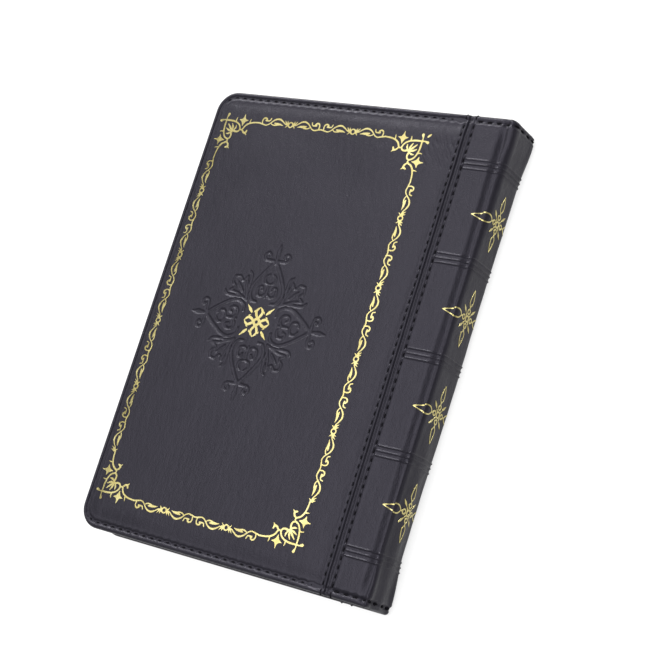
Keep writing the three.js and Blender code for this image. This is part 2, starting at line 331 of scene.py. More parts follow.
def make_stage():
    world = bpy.data.worlds.new("studio")
    world.use_nodes = True
    background = world.node_tree.nodes["Background"]
    background.inputs["Color"].default_value = (1, 1, 1, 1)
    background.inputs["Strength"].default_value = 0.45
    bpy.context.scene.world = world
    bpy.context.scene.view_settings.view_transform = "Standard"
    make_light("softbox", -107, 84, 1.2, 1.5, 19)
    make_light("head_strip", -145, 22, 1.3, 0.42, 15, shadow=False)

    n = Nodes("floor")
    n.set(Base_Color=(0.35, 0.35, 0.35, 1), Roughness=0.9, Specular_IOR_Level=0.1)
    n.set(Emission_Color=(1, 1, 1, 1), Emission_Strength=0.65)
    mesh = bpy.data.meshes.new("floor")
    reach, drop = 3.0, -0.05 * MM
    corners = [(x * reach, y * reach, drop) for x, y in ((-1, -1), (1, -1), (1, 1), (-1, 1))]
    mesh.from_pydata(corners, [], [(0, 1, 2, 3)])
    mesh.materials.append(n.material)
    new_object("floor", mesh)


make_camera()
make_stage()


# ---------------- materials


def leather_material():
    """Black coated leather: fine pebbled grain, faint wrinkles and a soft broken sheen."""
    n = Nodes("leather")
    clouds = n.noise(0.035, 2)
    wrinkles = n.noise(0.55, 5, 0.62, n.coordinates(scale=(1, 0.4, 0.7), turn=(0, 0, 28)))
    pebbles = n.cells(2.6)
    pores = n.noise(5.5, 2)
    n.set(Base_Color=n.mix(clouds, (0.008, 0.0075, 0.0105), (0.013, 0.012, 0.0168)))
    rough = n.sum(n.spread(clouds, 0.36, 0.46), n.spread(wrinkles, -0.05, 0.07))
    n.set(Roughness=rough, Specular_IOR_Level=0.25, Specular_Tint=(0.86, 0.82, 1.0, 1))
    grain = n.bump(n.sum(pebbles, pores, 0.5), 0.06, 0.8)
    n.set(Normal=n.bump(wrinkles, 0.26, 0.8, grain))
    return n.material


def lining_material():
    """Thin matt black leather, glued down flat."""
    n = Nodes("lining")
    pebbles = n.cells(1.7)
    patches = n.noise(0.05, 3)
    n.set(Base_Color=n.mix(patches, (0.011, 0.0105, 0.013), (0.022, 0.021, 0.025)))
    n.set(Roughness=n.spread(patches, 0.6, 0.72), Specular_IOR_Level=0.3)
    n.set(Normal=n.bump(pebbles, 0.05, 0.7))
    return n.material


def gold_material():
    """Pale gold foil pressed on leather, a little broken where it didn't take."""
    n = Nodes("gold_foil")
    clouds = n.noise(0.25, 3)
    speckle = n.noise(4.0, 3)
    n.set(Base_Color=n.mix(n.spread(clouds), (0.41, 0.345, 0.13), (0.51, 0.455, 0.21)))
    n.set(Metallic=1.0, Roughness=n.spread(speckle, 0.24, 0.42))
    n.set(Normal=n.bump(speckle, 0.03, 0.6))
    return n.material


def thread_material():
    """Black waxed thread with its twist."""
    n = Nodes("thread")
    twist = n.wave("DIAGONAL", 1.4)
    fuzz = n.noise(6, 2)
    n.set(Base_Color=n.mix(twist, (0.003, 0.003, 0.004), (0.011, 0.010, 0.013)))
    n.set(Roughness=n.spread(fuzz, 0.7, 0.85), Specular_IOR_Level=0.04)
    n.set(Normal=n.bump(twist, 0.08, 0.7))
    return n.material


def mull_material():
    """The open cotton cloth that is glued over the backs of the sections."""
    n = Nodes("binding_cloth")
    thread_scale = 0.5 / 0.7 / 3.2  # a thread every 0.7 mm
    weave = n.sum(n.wave("X", thread_scale), n.wave("Y", thread_scale))
    slub = n.noise(0.6, 3)
    shade = n.remap(n.sum(slub, weave, 0.3), 0.3, 1.1)
    n.set(Base_Color=n.mix(shade, (0.48, 0.43, 0.32), (0.72, 0.67, 0.55)))
    n.set(Roughness=n.spread(slub, 0.8, 0.93), Normal=n.bump(weave, 0.06, 0.6))
    return n.material


def paper_material():
    """Cream book paper, a little toned with age, with faint fibres."""
    n = Nodes("paper")
    fibres = n.noise(2.5, 4)
    age = n.noise(0.03, 2)
    shade = n.sum(n.spread(fibres, 0, 0.5), age, 0.5)
    n.set(Base_Color=n.mix(shade, (0.44, 0.385, 0.28), (0.56, 0.505, 0.39)))
    n.set(Roughness=n.spread(fibres, 0.78, 0.92), Specular_IOR_Level=0.25)
    n.set(Normal=n.bump(fibres, 0.03, 0.5))
    return n.material


def board_material():
    """Grey-brown bookbinder's board."""
    n = Nodes("board")
    flecks = n.noise(1.8, 5, 0.7)
    n.set(Base_Color=n.mix(n.spread(flecks), (0.20, 0.165, 0.11), (0.36, 0.31, 0.23)))
    n.set(Roughness=n.spread(flecks, 0.85, 0.97), Normal=n.bump(flecks, 0.08, 0.6))
    return n.material


def wadding_material():
    """Thin white foam wadding, its colour darker in the pits of its pores as painted shade."""
    n = Nodes("wadding")
    pores = n.cells(1.6)
    # painted shade: the colour darkens where the bump sinks into the pores
    n.set(Base_Color=n.mix(n.remap(pores, 0, 0.6), (0.55, 0.53, 0.47), (0.74, 0.72, 0.66)))
    n.set(Roughness=n.remap(pores, 0, 0.6, 0.88, 0.98), Normal=n.bump(pores, 0.2, 0.7))
    return n.material


def band_material():
    """Silk wound round a core in two colours."""
    n = Nodes("band_silk")
    stripes = n.remap(n.wave("Z", 0.16), 0.45, 0.55)
    threads = n.wave("Z", 1.1)
    n.set(Base_Color=n.mix(stripes, (0.42, 0.33, 0.15), (0.62, 0.56, 0.42)))
    n.set(Roughness=n.remap(threads, 0, 1, 0.4, 0.55), Normal=n.bump(threads, 0.06, 0.7))
    return n.material


LEATHER_FINISH = leather_material()
GOLD = gold_material()
THREAD = thread_material()
LINING = lining_material()
CLOTH = mull_material()
PAPER = paper_material()
CARD = board_material()
WADDING = wadding_material()
BAND = band_material()


# ---------------- stamped patterns

# A stroke is an array of rows: x, y and half width.
STROKE_STEPS = 6  # between two of its given points
RING_STEPS = 16


def stroke(points, *half_widths):
    """A smooth line through a few points; its half widths are spread evenly along it."""
    p = np.array(points, float)
    guide = np.vstack([2 * p[0] - p[1], p, 2 * p[-1] - p[-2]])
    t = np.linspace(0, 1, STROKE_STEPS, endpoint=False)[:, None]
    spans = [
        b + (c - a) * t / 2 + (a - 2.5 * b + 2 * c - d / 2) * t**2 + (1.5 * (b - c) + (d - a) / 2) * t**3
        for a, b, c, d in zip(guide, guide[1:], guide[2:], guide[3:])
    ]
    line = np.vstack([*spans, p[-1:]])
    along = np.linspace(0, 1, len(line))
    widths = np.interp(along, np.linspace(0, 1, len(half_widths)), half_widths)
    return np.column_stack([line, widths])


def ring(x, y, radius, half_width):
    angles = np.linspace(0, 2 * math.pi, RING_STEPS + 1)
    widths = np.full(len(angles), half_width)
    return np.column_stack([x + radius * np.cos(angles), y + radius * np.sin(angles), widths])


def moved(strokes, x=0, y=0, turn=0, flip=False, stretch=1.0):
    """Strokes stretched along their x, mirrored in it if asked, turned by degrees, then shifted."""
    a = math.radians(turn)
    result = []
    for s in strokes:
        along = s[:, 0] * (-stretch if flip else stretch)
        new_x = x + along * math.cos(a) - s[:, 1] * math.sin(a)
        new_y = y + along * math.sin(a) + s[:, 1] * math.cos(a)
        result.append(np.column_stack([new_x, new_y, s[:, 2]]))
    return result


def with_mirror(strokes):
    """Strokes and their mirror image in x."""
    return strokes + moved(strokes, flip=True)


def swapped(strokes):
    """Strokes mirrored in the diagonal."""
    return [s[:, [1, 0, 2]] for s in strokes]


def four_fold(strokes):
    return [s for turn in (0, 90, 180, 270) for s in moved(strokes, turn=turn)]


def stamp_distance(strokes, xs, ys, reach=1.2):
    """Distance from every crossing of two rising sets of lines to the strokes' edges, negative inside."""
    field = np.full((len(xs), len(ys)), reach)
    for s in strokes:
        for (x0, y0, r0), (x1, y1, r1) in zip(s, s[1:]):
            margin = max(r0, r1) + reach
            i0, i1 = np.searchsorted(xs, (min(x0, x1) - margin, max(x0, x1) + margin))
            j0, j1 = np.searchsorted(ys, (min(y0, y1) - margin, max(y0, y1) + margin))
            if i0 == i1 or j0 == j1:
                continue
            dx, dy = x1 - x0, y1 - y0
            x, y = xs[i0:i1, None] - x0, ys[None, j0:j1] - y0
            t = np.clip((x * dx + y * dy) / (dx * dx + dy * dy + 1e-9), 0, 1)
            away = np.hypot(x - t * dx, y - t * dy) - (r0 + t * (r1 - r0))
            field[i0:i1, j0:j1] = np.minimum(field[i0:i1, j0:j1], away)
    return field


def outline_cells(field, xs, ys):
    """The part of a field that is below zero, as flat points and faces cut along its outline."""
    columns = len(ys)
    count = field.size
    inside = field < 0
    points, numbers, faces = [], {}, []

    def number(key, x, y):
        if key not in numbers:
            numbers[key] = len(points)
            points.append((x, y))
        return numbers[key]

    some = inside[:-1, :-1] | inside[1:, :-1] | inside[1:, 1:] | inside[:-1, 1:]
    for i, j in zip(*np.nonzero(some)):
        corners = [(i, j), (i + 1, j), (i + 1, j + 1), (i, j + 1)]
        face = []
        for (ia, ja), (ib, jb) in zip(corners, corners[1:] + corners[:1]):
            if inside[ia, ja]:
                face.append(number(ia * columns + ja, xs[ia], ys[ja]))
            if inside[ia, ja] != inside[ib, jb]:
                low = min(ia, ib) * columns + min(ja, jb)
                key = low + count * (1 if ja == jb else 2)
                t = np.clip(field[ia, ja] / (field[ia, ja] - field[ib, jb]), 0.1, 0.9)
                face.append(number(key, xs[ia] + t * (xs[ib] - xs[ia]), ys[ja] + t * (ys[jb] - ys[ja])))
        faces.append(face)
    return np.array(points), faces


def plate(name, strokes, step, surface, material, low=None, high=None, lift=0.06):
    """A thin closed plate in the shape of some strokes, laid on a surface(x, y, lift)."""
    sink = 0.1
    places = np.vstack(strokes)[:, :2]
    start = places.min(0) - 1 if low is None else low
    end = places.max(0) + 1 if high is None else high
    xs, ys = (np.arange(a, b + step / 2, step) for a, b in zip(start, end))
    flat, faces = outline_cells(stamp_distance(strokes, xs, ys, reach=2 * step), xs, ys)
    count = len(flat)
    points = np.vstack([surface(*flat.T, lift), surface(*flat.T, -sink)])
    edges = dict.fromkeys(edge for face in faces for edge in zip(face, face[1:] + face[:1]))
    walls = [[b, a, a + count, b + count] for a, b in edges if (b, a) not in edges]
    under = [[c + count for c in reversed(face)] for face in faces]
    return mesh_object(name, points, faces + under + walls, material)


# ---------------- the ornaments


SCROLL_HALF = 14.0
CORNER_REACH = 15.3  # length of each side that the corner ornaments take up
END_PERIOD = 27.5  # length of one repeat at the head and tail
SIDE_PERIOD = 25.6
FIRST_SIDE_RING = 29.6


def scroll_half():
    """Half of the border's repeat, from the middle of its ring to the bar; the outer side is above."""
    arch = [(2.8, 0), (4.0, 0.8), (5.3, 1.4), (6.6, 1.35), (7.8, 0.8), (8.8, -0.05)]
    arch += [(9.8, -0.95), (11.0, -1.4), (12.4, -1.15), (14.0, -0.85)]
    curl = [(12.9, -0.8), (13.0, 0.3), (12.6, 1.15), (11.8, 1.35), (11.1, 0.9), (11.5, 0.35)]
    return [
        ring(0, -0.3, 0.95, 0.24),
        stroke([(1.1, 0.1), (1.5, 0.6), (1.7, 1.25)], 0.28, 0.2, 0.05),
        stroke([(1.2, -0.2), (2.2, 0.35), (2.8, 1.2)], 0.3, 0.26, 0.05),
        stroke([(1.1, -0.6), (1.7, -1.0), (2.1, -1.6)], 0.28, 0.2, 0.05),
        stroke([(1.1, -0.3), (2.0, -0.3), (3.0, 0)], 0.28, 0.24, 0.16),
        stroke(arch, 0.16, 0.26, 0.32, 0.3, 0.22, 0.2, 0.22, 0.26, 0.24),
        stroke([(3.2, -0.9), (4.6, -0.6), (5.9, -0.55), (7.2, -0.3)], 0.05, 0.34, 0.5, 0.24),
        stroke([(6.2, -0.95), (7.4, -1.1), (8.3, -0.9), (8.9, -0.5)], 0.26, 0.24, 0.2, 0.16),
        stroke(curl, 0.24, 0.22, 0.26, 0.3, 0.26, 0.22),
        stroke([(11.5, 0.45), (10.6, 0.35), (9.7, 0.5), (9.35, 1.4)], 0.34, 0.26, 0.2, 0.2),
    ]


def scroll_side(length, first_ring, period, count):
    """The scrolls along one side of the border, between its two corner ornaments."""
    strokes = []
    for k in range(count):
        for flip in (False, True):
            x = first_ring + period * k
            strokes += moved(scroll_half(), x=x, flip=flip, stretch=period / (2 * SCROLL_HALF))
    start = CORNER_REACH - 1
    end = length - CORNER_REACH + 0.5
    return [s for s in strokes if start < s[:, 0].min() and s[:, 0].max() < end]


def corner_half():
    """Half of a corner ornament, on one side of its diagonal; both axes point into the panel."""
    star = [
        stroke([(0, 0), (0, -1.2), (-0.1, -2.7)], 1.0, 0.36, 0.04),
        stroke([(0, 0), (0, 1.1), (0, 2.3)], 1.0, 0.45, 0.04),
        stroke([(0, 0), (1.0, -0.1), (2.1, -0.3)], 0.9, 0.42, 0.05),
        stroke([(0, 0), (-1.0, -0.1), (-2.1, -0.3)], 0.9, 0.42, 0.05),
    ]
    frame_line = [(1.0, 1.0), (3.8, 1.05), (6.0, 1.5), (7.6, 2.5), (8.3, 3.9), (7.9, 4.9)]
    frame_line += [(6.8, 5.2), (5.8, 4.9)]
    tail = [(8.3, 3.9), (9.0, 4.3), (9.6, 3.9), (10.3, 2.6), (11.6, 1.6), (13.6, 1.0), (16.4, 0.75)]
    return [
        stroke(frame_line, 0.28, 0.34, 0.3, 0.28, 0.3, 0.3, 0.34, 0.42),
        stroke([(1.0, 1.0), (1.0, -0.2), (1.35, -1.35)], 0.26, 0.2, 0.52),
        stroke([(5.6, 1.3), (5.5, 0.4), (5.7, -0.45)], 0.26, 0.22, 0.08),
        stroke(tail, 0.2, 0.3, 0.32, 0.26),
        stroke([(12.0, 1.4), (12.0, 0.5), (12.2, -0.5)], 0.26, 0.2, 0.06),
        stroke([(9.4, 4.1), (10.3, 5.1), (11.3, 5.3), (11.7, 4.4)], 0.26, 0.34, 0.4, 0.3),
        stroke([(11.2, 5.2), (12.0, 6.1)], 0.34, 0.1),
        *moved(star, x=8.9, y=0.55),
        stroke([(5.3, 5.3), (3.9, 3.9), (2.5, 2.5)], 0.2, 0.42, 0.16),
        stroke([(5.2, 4.9), (4.9, 3.5), (4.2, 2.1)], 0.16, 0.38, 0.14),
        stroke([(5.4, 4.9), (6.2, 3.8), (6.3, 2.7)], 0.16, 0.36, 0.14),
    ]


def border_strokes():
    """The gold border of a cover, in the cover's own x and y."""
    corner = corner_half() + swapped(corner_half())
    leaf = stroke([(-0.8, -0.8), (-1.3, -1.3), (-2.0, -1.9)], 0.3, 0.4, 0.06)
    strokes = []

    def add(s, x, y):
        strokes.append(np.column_stack([x, y, s[:, 2]]))

    for x, x_turn in ((BORDER_LEFT, 1), (BORDER_RIGHT, -1)):
        for y, y_turn in ((BORDER_BOTTOM, 1), (BORDER_TOP, -1)):
            at_spine_head = x_turn + y_turn == -2
            for s in corner + [leaf] * at_spine_head:
                add(s, x + x_turn * s[:, 0], y + y_turn * s[:, 1])
    across = BORDER_RIGHT - BORDER_LEFT
    for s in scroll_side(across, (across - END_PERIOD) / 2, END_PERIOD, 2):
        add(s, BORDER_LEFT + s[:, 0], BORDER_TOP + s[:, 1])
        add(s, BORDER_LEFT + s[:, 0], BORDER_BOTTOM - s[:, 1])
    for s in scroll_side(BORDER_TOP - BORDER_BOTTOM, FIRST_SIDE_RING, SIDE_PERIOD, 5):
        add(s, BORDER_RIGHT + s[:, 1], BORDER_TOP - s[:, 0])
        add(s, BORDER_LEFT - s[:, 1], BORDER_TOP - s[:, 0])
    return strokes


def rosette_strokes():
    petal = [
        stroke([(0.25, 1.5), (1.0, 2.6), (1.35, 3.7), (0.9, 4.6), (0, 5.5)], 0.42, 0.52, 0.46, 0.42, 0.1),
        stroke([(1.2, 3.3), (1.9, 3.9), (2.3, 3.2)], 0.34, 0.26, 0.06),
    ]
    drop = [stroke([(3.3, 3.3), (4.2, 4.2), (5.8, 5.8)], 0.36, 0.56, 0.05)]
    flower = four_fold(with_mirror(petal) + drop) + [ring(0, 0, 1.15, 0.5)]
    return moved(flower, *ROSETTE)


FLEURON_REACH = (14, 11)  # beyond the flower's longest leaves, across the spine and along it


def fleuron_strokes():
    """A flower on the spine: x counts from the middle of the spine's face, y towards the head."""
    upright = [stroke([(0, 4.0), (1.05, 5.4), (0.8, 7.6), (0, 10.0)], 0.18, 0.2, 0.2, 0.1)]
    sideways = [stroke([(0, 4.2), (1.4, 5.8), (1.25, 8.6), (0, 12.8)], 0.2, 0.22, 0.22, 0.12)]
    circle = [ring(0, 2.5, 0.8, 0.25), stroke([(0, 3.3), (0, 4.0), (0, 4.4)], 0.14, 0.3, 0.18)]
    drop = [
        stroke([(2.0, 2.0), (2.9, 2.9), (3.9, 3.9)], 0.18, 0.46, 0.08),
        stroke([(0.8, 0.8), (1.3, 1.3), (1.8, 1.8)], 0.22, 0.3, 0.08),
    ]
    flower = four_fold(circle + drop) + [ring(0, 0, 1.0, 0.3)]
    for turn in (0, 180):
        flower += moved(with_mirror(upright), turn=turn)
        flower += moved(with_mirror(sideways), turn=turn + 90)
    return flower


MEDALLION_REACH = 30.5  # a little more than its arms


def medallion_strokes():
    """The blind-stamped figure round the rosette: four spade-shaped arms with lilies between them."""
    spade = [(0, 22.9), (3.3, 18.6), (6.2, 13.9), (6.9, 10.6), (5.4, 7.7), (3.2, 7.2)]
    curl = [(0.6, 22.9), (2.4, 23.0), (4.7, 23.3), (5.4, 24.8), (4.2, 25.8), (3.1, 25.0), (3.7, 24.2)]
    palmette = [(0.5, 10.4), (2.0, 9.4), (3.8, 10.2), (4.0, 12.3), (2.7, 13.2), (2.0, 12.0)]
    arm = [
        stroke(spade, 0.55, 0.6, 0.6, 0.55, 0.5, 0.35),
        stroke(curl, 0.5, 0.45, 0.45, 0.4),
        stroke([(0, 23.5), (0, 26.6), (0, 29.3)], 0.4, 0.85, 0.1),
        stroke([(9.6, 17.9), (8.4, 16.6), (8.1, 13.3), (8.2, 9.9), (7.3, 7.3)], 0.3, 0.45, 0.5, 0.5, 0.4),
        stroke([(0, 9.2), (0, 11.5), (0, 13.4)], 0.3, 0.5, 0.3),
        stroke(palmette, 0.35, 0.42, 0.42, 0.35),
        stroke([(0.3, 14.2), (1.9, 14.9), (2.2, 16.7), (0.8, 17.9)], 0.3, 0.42, 0.4, 0.2),
    ]
    lily = [
        stroke([(7.9, 9.2), (9.3, 12.2), (9.9, 15.9)], 0.35, 0.42, 0.4),
        stroke([(9.9, 15.9), (11.5, 14.1), (13.2, 15.6), (15.3, 15.3)], 0.4, 0.35, 0.4, 0.4),
        stroke([(10.2, 10.2), (12.0, 12.0), (13.2, 13.2)], 0.3, 0.45, 0.25),
    ]
    return four_fold(with_mirror(arm) + lily + swapped(lily))


# ---------------- the leather's surface

BEAD = 1.2  # radius of the rolled edge, and where the face begins
BEAD_DROP = 0.3
EDGE_DIP = 0.16  # how deep the row of edge stitches is pulled in
FORE_DIP = 0.9  # deeper along the fore edge, under the swell of the padding
EDGE_DIMPLE = 0.42  # and under each stitch
SEAM_DIMPLE = 0.34
SEAM_DIMPLE_WIDTH = 0.4
STRIP_DIMPLE = 0.36
STRIP_DIMPLE_WIDTH = 0.42
MEDALLION_DEPTH = 0.42
STAMP_STEP = 0.28
CREASED = 15  # size of the wrinkled patch at the head end of the seam
CREASE_DEPTH = 0.15


def edge_distance(x, y):
    """How far a point of the panel is from its nearest free edge, round the corners too."""
    from_fore, from_end = x - FORE, HEAD - np.abs(y)
    in_corner = np.maximum(from_fore, from_end) < CORNER_RADIUS
    round_corner = CORNER_RADIUS - np.hypot(CORNER_RADIUS - from_fore, CORNER_RADIUS - from_end)
    return np.where(in_corner, round_corner, np.minimum(from_fore, from_end))


def edge_line(inset, x_end, spacing):
    """Points evenly along the free edges, at an inset from them, from head to tail end of the seam."""
    radius = CORNER_RADIUS - inset
    arc = radius * math.pi / 2
    upright = HEAD - CORNER_RADIUS
    length = upright + arc + x_end - FORE - CORNER_RADIUS  # from the middle of the fore edge
    places = np.linspace(length, -length, round(2 * length / spacing) + 1)
    far = np.abs(places)
    turn = np.clip((far - upright) / radius, 0, math.pi / 2)
    x = FORE + CORNER_RADIUS - radius * np.cos(turn) + np.maximum(far - upright - arc, 0)
    y = np.minimum(far, upright) + radius * np.sin(turn)
    return np.column_stack([x, np.copysign(y, places)])


def dashes(places):
    """A row of places cut into stitches."""
    starts = range(0, len(places) - STITCH_PLACES + 1, PITCH_PLACES)
    return [places[k : k + STITCH_PLACES] for k in starts]


def seam_places(x):
    """Places of the stitches beside the seam, from tail to head."""
    ys = np.arange(TAIL + STITCH_INSET + 0.9, HEAD - STITCH_INSET - 0.9, SEAM_PITCH / PITCH_PLACES)
    return np.column_stack([np.full(len(ys), x), ys])


EDGE_DASHES = dashes(edge_line(STITCH_INSET, SEAM - SEAM_ROW - 0.8, EDGE_PITCH / PITCH_PLACES))
PANEL_DASHES = dashes(seam_places(SEAM - SEAM_ROW))


def edge_relief(x, y, e):
    """Height near a free edge: the rolled bead, the row of stitches, then the swell of the padding."""
    fore = ramp(HEAD - np.abs(y), 1.0, 9.0) * (x < FORE + 9)
    dip = EDGE_DIP + (FORE_DIP - EDGE_DIP) * fore
    swell = 0.3 * (1 - ramp(e, STITCH_INSET, 9)) * ramp(e, BEAD, STITCH_INSET) * (1 - fore)
    return -BEAD_DROP * (1 - ramp(e, BEAD, 8)) - swell - dip * hump(e, STITCH_INSET, 0.6)


def seam_relief(d):
    """The height at a distance from the seam: an open join, a folded ridge, and a sunk row of stitches."""
    join = -0.62 * (1 - ramp(d, 0.35, 0.8))
    ridge = 0.1 * hump(d, 1.2, 0.35)
    row = 0.08 * hump(d, SEAM_ROW, 0.35)
    return join + ridge - row + 0.06 * hump(d, SEAM_ROW + 1.0, 0.6)


def dash_relief(x, y, stitches_there, depth=EDGE_DIMPLE, width=0.6):
    """Dimples where the stitches lie."""
    away = nearest(x, y, np.vstack(stitches_there))
    return -depth * np.exp(-((away / width) ** 2))


def scallop_relief(x, y, e, stitches_there):
    """The leather swelling inside the row, between one stitch and the next."""
    away = nearest(x, y, [dash.mean(0) for dash in stitches_there])
    return 0.16 * ramp(away, 0.9, 1.8) * hump(e, STITCH_INSET + 1.15, 0.6)


def face_relief(x, y):
    """Height of the panel's face above the cover's nominal face."""
    e = edge_distance(x, y)
    d = SEAM - x
    hollow = 0.3 * (1 - ramp(d, 3.2, 12.5)) * ramp(d, 0.5, 3.5)  # the padding thins out beside the seam
    height = edge_relief(x, y, e) + seam_relief(d) - hollow
    height = height + 0.09 * waves(x, y, 5) * ramp(e, 3, 9)
    rim = e < 5
    height[rim] += dash_relief(x[rim], y[rim], EDGE_DASHES)
    height[rim] += scallop_relief(x[rim], y[rim], e[rim], EDGE_DASHES)
    row = d < 4
    height[row] += dash_relief(x[row], y[row], PANEL_DASHES, SEAM_DIMPLE, SEAM_DIMPLE_WIDTH)
    return height


def face_point(x, y, lift):
    """A point on the front panel, or a little above it."""
    return np.column_stack([x, y, FRONT + face_relief(x, y) + lift])


def creases():
    """Short slanting wrinkles near the head end of the seam."""
    random = np.random.default_rng(8)
    lines = []
    for _ in range(34):
        x = SEAM - random.uniform(5, CREASED)
        y = HEAD - CORNER_RADIUS - random.uniform(0.3, 10)
        length = random.uniform(2.5, 6.0)
        bend = random.uniform(0.2, 0.5)
        path = [(x, y), (x + bend * length / 2, y - 0.4 * length), (x + 0.5 * length, y - 0.85 * length)]
        lines.append(stroke(path, 0.02, 0.2, 0.02))
    return lines


def leather_panel(side):
    """A cover's leather: a padded face, a rolled and stitched edge, and the turn-in behind it."""
    x_end = SEAM - 0.02
    corner_x, corner_y = FORE + CORNER_RADIUS, HEAD - CORNER_RADIUS
    x_fine, y_fine = ((place - MEDALLION_REACH, place + MEDALLION_REACH) for place in ROSETTE)
    beside_seam = x_end - 3.2
    xs = np.concatenate([
        fine_steps(x_end, beside_seam, SEAM_STEP)[:-1],
        fine_steps(beside_seam, corner_x, STEP, [x_fine, (SEAM - CREASED, SEAM)], STAMP_STEP),
    ])
    ys = fine_steps(corner_y, -corner_y, STEP, [y_fine, (corner_y - CREASED, HEAD)], STAMP_STEP)
    angles = np.linspace(math.pi / 2, math.pi, 17)[1:-1]
    points, rows = [], []

    def add(new_points):
        """Takes in points and gives their numbers."""
        numbers = np.arange(len(new_points)) + sum(len(p) for p in points)
        points.append(new_points)
        return numbers

    def ring_at(inset):
        """Flat points along the free edges, from the seam's head end to its tail end."""
        turns = (CORNER_RADIUS - inset) * np.column_stack([np.cos(angles), np.sin(angles)])
        return np.vstack([
            np.column_stack([xs, np.full(len(xs), HEAD - inset)]),
            turns + (corner_x, corner_y),
            np.column_stack([np.full(len(ys), FORE + inset), ys]),
            (turns * (1, -1))[::-1] + (corner_x, -corner_y),
            np.column_stack([xs[::-1], np.full(len(xs), TAIL + inset)]),
        ])

    # From the ceiling of the turn-in, out round the edge, to the face.
    quarter = np.radians(np.linspace(0, 90, 6))
    under = 0.8  # radius of the lower edge
    section = [(LEATHER, LEATHER), (LEATHER, TURN_IN - LEATHER), (RIM, TURN_IN - LEATHER), (RIM, TURN_IN)]
    section += [(under - under * math.sin(a), TURN_IN - under + under * math.cos(a)) for a in quarter]
    section += [(BEAD - BEAD * math.cos(a), BEAD_DROP + BEAD - BEAD * math.sin(a)) for a in quarter[:-1]]
    for inset, depth in section:
        flat = ring_at(inset)
        z = np.full(len(flat), FRONT - depth)
        if depth < TURN_IN - under:  # near the seam the edge sinks with the face
            z += seam_relief(SEAM - flat[:, 0]) * (1 - depth / TURN_IN)
        rows.append(add(np.column_stack([flat, z])))
    for inset in np.concatenate([np.arange(BEAD, 4.5, 0.3), np.arange(4.8, CORNER_RADIUS - 0.2, 0.6)]):
        rows.append(add(face_point(*ring_at(inset).T, 0)))

    x, y = (a.ravel() for a in np.meshgrid(xs, ys, indexing="ij"))
    face = face_point(x, y, 0)
    medallion = moved(medallion_strokes(), *ROSETTE)
    for lines, depth in ((medallion, MEDALLION_DEPTH), (creases(), CREASE_DEPTH)):
        away = stamp_distance(lines, xs[::-1], ys[::-1])[::-1, ::-1].ravel()
        face[:, 2] -= depth * (1 - ramp(away, -0.1, 0.2))
    grid = add(face).reshape(len(xs), len(ys))
    head_turn, tail_turn = ([corner] * len(angles) for corner in (grid[-1, 0], grid[-1, -1]))
    rows.append(np.array([*grid[:, 0], *head_turn, *grid[-1, :], *tail_turn, *grid[::-1, -1]]))

    faces = []
    for outer, inner in [*zip(rows, rows[1:]), *zip(grid, grid[1:])]:
        faces += strip_faces(outer, inner)
    faces.append(rows[0].tolist()[::-1])
    seam_side = [r[0] for r in rows[:-1]] + grid[0].tolist() + [r[-1] for r in reversed(rows[:-1])]
    faces.append([int(c) for c in seam_side])
    return mesh_object(f"{side}_panel", on_side(side, np.vstack(points)), faces, LEATHER_FINISH, 60)


# ---------------- the spine leather

STRIP_DROP = 0.1
SHOULDER_ACROSS = 1.7
SHOULDER_DOWN = 3.6
SHOULDER_LENGTH = 4.3
BULGE = 0.4  # the leather stands this far out of the spine's nominal face
SHOULDER_START = SPINE + BULGE - SHOULDER_ACROSS - SEAM  # distances along the leather, from the seam
FACE_START = SHOULDER_START + SHOULDER_LENGTH
SPINE_MIDDLE = FACE_START + FRONT - STRIP_DROP - SHOULDER_DOWN - MID_Z
VALLEY = SHOULDER_START - 2.1  # where the leather drops into the groove of the fold
VALLEY_DEPTH = 1.25
WAIST = 0.3  # how far the spine's face lies deeper between its ends
PINCH = 0.7  # how far the shoulder lies deeper towards the tail
FLARE = 0.9  # how far the shoulder stands out at both ends
HEAD_SWELL = 1.4  # how far the spine's face stands out more at the head than at its middle
WRAP_PLACES = np.arange(SEAM_ROW + 0.9, SPINE_MIDDLE, EDGE_PITCH / PITCH_PLACES)
WRAP_DASHES = dashes(np.array([(s, HEAD - STITCH_INSET) for s in WRAP_PLACES]))
STRIP_DASHES = dashes(seam_places(SEAM_ROW))
LINE_HEIGHT = 0.34  # of the raised lines
LINE_WIDTH = 0.27


def valley(s):
    """Depth of the groove beside the spine."""
    risen = ramp(s, VALLEY + 1.4, VALLEY + 5.6)
    return VALLEY_DEPTH * ramp(s, VALLEY - 1.2, VALLEY + 1.8) * (1 - risen)


